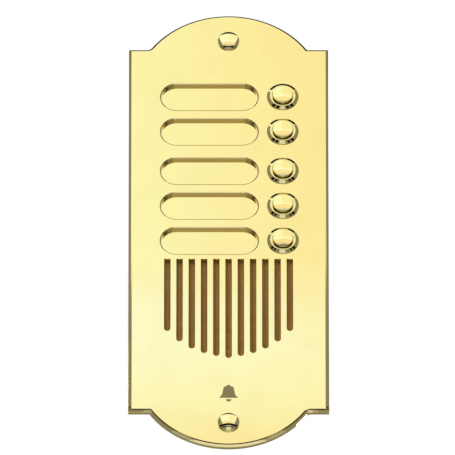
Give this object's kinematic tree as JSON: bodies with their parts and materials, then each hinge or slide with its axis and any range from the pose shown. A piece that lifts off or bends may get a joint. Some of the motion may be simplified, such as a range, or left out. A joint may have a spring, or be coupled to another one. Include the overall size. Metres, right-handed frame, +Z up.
{
  "type": "door intercom panel",
  "caption": "Polished arched-end door intercom panel with call buttons, name windows, a slotted speaker grille and a rear housing.",
  "frame": {"origin": "midway between the two fixing screws, on the back face of the front plate", "axes": "+Z up, +X to the right as seen by a visitor, the front faces -Y and the fixing screws point along +Y into the wall"},
  "size_m": [0.13, 0.046, 0.3422],
  "materials": {
    "plate_brass": "solid yellow brass plate, mirror polished",
    "mark_enamel": "olive enamel filled into the engraving",
    "pillar_brass": "turned brass, as machined",
    "foam_rubber": "closed-cell foam rubber",
    "name_plate_brass": "brass sheet, mirror polished",
    "zinc_steel": "zinc-plated steel",
    "bezel_brass": "turned brass, polished",
    "cap_brass": "turned brass, mirror polished",
    "contact_copper": "copper alloy, bare",
    "spring_steel": "drawn spring wire",
    "contact_plastic": "moulded acetal, off-white",
    "circuit_board": "glass-fibre board under green lacquer",
    "ribbon_plastic": "grey flat cable",
    "gauze_bronze": "woven bronze wire, browned",
    "speaker_steel": "pressed steel, dark zinc and ferrite",
    "cone_paper": "pressed black paper",
    "component_plastic": "moulded component bodies",
    "terminal_plastic": "moulded green polyamide",
    "trimmer_plastic": "moulded blue polyester",
    "lead_plastic": "insulated wire",
    "housing_plastic": "moulded black ABS, fine grain",
    "cover_brass": "turned brass, mirror polished"
  },
  "bodies": {
    "panel": {"front_plate": "plate_brass", "bell_mark": "mark_enamel", "plate_studs": "pillar_brass", "housing_pillars": "pillar_brass", "plate_gasket": "foam_rubber", "speaker_gasket": "foam_rubber", "microphone_boot": "foam_rubber", "name_plate_1": "name_plate_brass", "name_plate_2": "name_plate_brass", "name_plate_3": "name_plate_brass", "name_plate_4": "name_plate_brass", "name_plate_5": "name_plate_brass", "name_plate_clamp": "zinc_steel", "clamp_nuts": "zinc_steel", "bezel_nuts": "zinc_steel", "speaker_clips": "zinc_steel", "housing_screws": "zinc_steel", "fixing_screws": "zinc_steel", "terminal_screws": "zinc_steel", "button_bezel_1": "bezel_brass", "button_bezel_2": "bezel_brass", "button_bezel_3": "bezel_brass", "button_bezel_4": "bezel_brass", "button_bezel_5": "bezel_brass", "contact_terminals": "contact_copper", "button_spring_1": "spring_steel", "button_spring_2": "spring_steel", "button_spring_3": "spring_steel", "button_spring_4": "spring_steel", "button_spring_5": "spring_steel", "contact_base_1": "contact_plastic", "contact_base_2": "contact_plastic", "contact_base_3": "contact_plastic", "contact_base_4": "contact_plastic", "contact_base_5": "contact_plastic", "button_board": "circuit_board", "main_board": "circuit_board", "ribbon_cable": "ribbon_plastic", "speaker_gauze": "gauze_bronze", "speaker_frame": "speaker_steel", "speaker_magnet": "speaker_steel", "microphone": "speaker_steel", "board_parts": "component_plastic", "terminal_block": "terminal_plastic", "signal_leads": "lead_plastic", "rear_housing": "housing_plastic", "fixing_covers": "cover_brass"},
    "button_1": {"button_cap_1": "cap_brass", "contact_disc_1": "contact_copper"},
    "button_2": {"button_cap_2": "cap_brass", "contact_disc_2": "contact_copper"},
    "button_3": {"button_cap_3": "cap_brass", "contact_disc_3": "contact_copper"},
    "button_4": {"button_cap_4": "cap_brass", "contact_disc_4": "contact_copper"},
    "button_5": {"button_cap_5": "cap_brass", "contact_disc_5": "contact_copper"},
    "cone": {"speaker_cone": "cone_paper"},
    "trimmer_1": {"volume_trimmer_1": "trimmer_plastic"},
    "trimmer_2": {"volume_trimmer_2": "trimmer_plastic"}
  },
  "joints": [
    {"name": "button_1_press", "type": "slide", "parent": "panel", "child": "button_1", "axis": [0, 1, 0], "range_m": [0, 0.0015], "stiffness_N_per_m": 800, "springref_m": -0.002, "deforming": ["button_spring_1"]},
    {"name": "button_2_press", "type": "slide", "parent": "panel", "child": "button_2", "axis": [0, 1, 0], "range_m": [0, 0.0015], "stiffness_N_per_m": 800, "springref_m": -0.002, "deforming": ["button_spring_2"]},
    {"name": "button_3_press", "type": "slide", "parent": "panel", "child": "button_3", "axis": [0, 1, 0], "range_m": [0, 0.0015], "stiffness_N_per_m": 800, "springref_m": -0.002, "deforming": ["button_spring_3"]},
    {"name": "button_4_press", "type": "slide", "parent": "panel", "child": "button_4", "axis": [0, 1, 0], "range_m": [0, 0.0015], "stiffness_N_per_m": 800, "springref_m": -0.002, "deforming": ["button_spring_4"]},
    {"name": "button_5_press", "type": "slide", "parent": "panel", "child": "button_5", "axis": [0, 1, 0], "range_m": [0, 0.0015], "stiffness_N_per_m": 800, "springref_m": -0.002, "deforming": ["button_spring_5"]},
    {"name": "cone_stroke", "type": "slide", "parent": "panel", "child": "cone", "axis": [0, 1, 0], "range_m": [-0.0005, 0.0005], "stiffness_N_per_m": 1500},
    {"name": "trimmer_1_turn", "type": "hinge", "parent": "panel", "child": "trimmer_1", "pos_m": [-0.03, 0.034, -0.0882], "axis": [0, 1, 0], "range_deg": [-135, 135]},
    {"name": "trimmer_2_turn", "type": "hinge", "parent": "panel", "child": "trimmer_2", "pos_m": [-0.03, 0.034, -0.0722], "axis": [0, 1, 0], "range_deg": [-135, 135]}
  ]
}
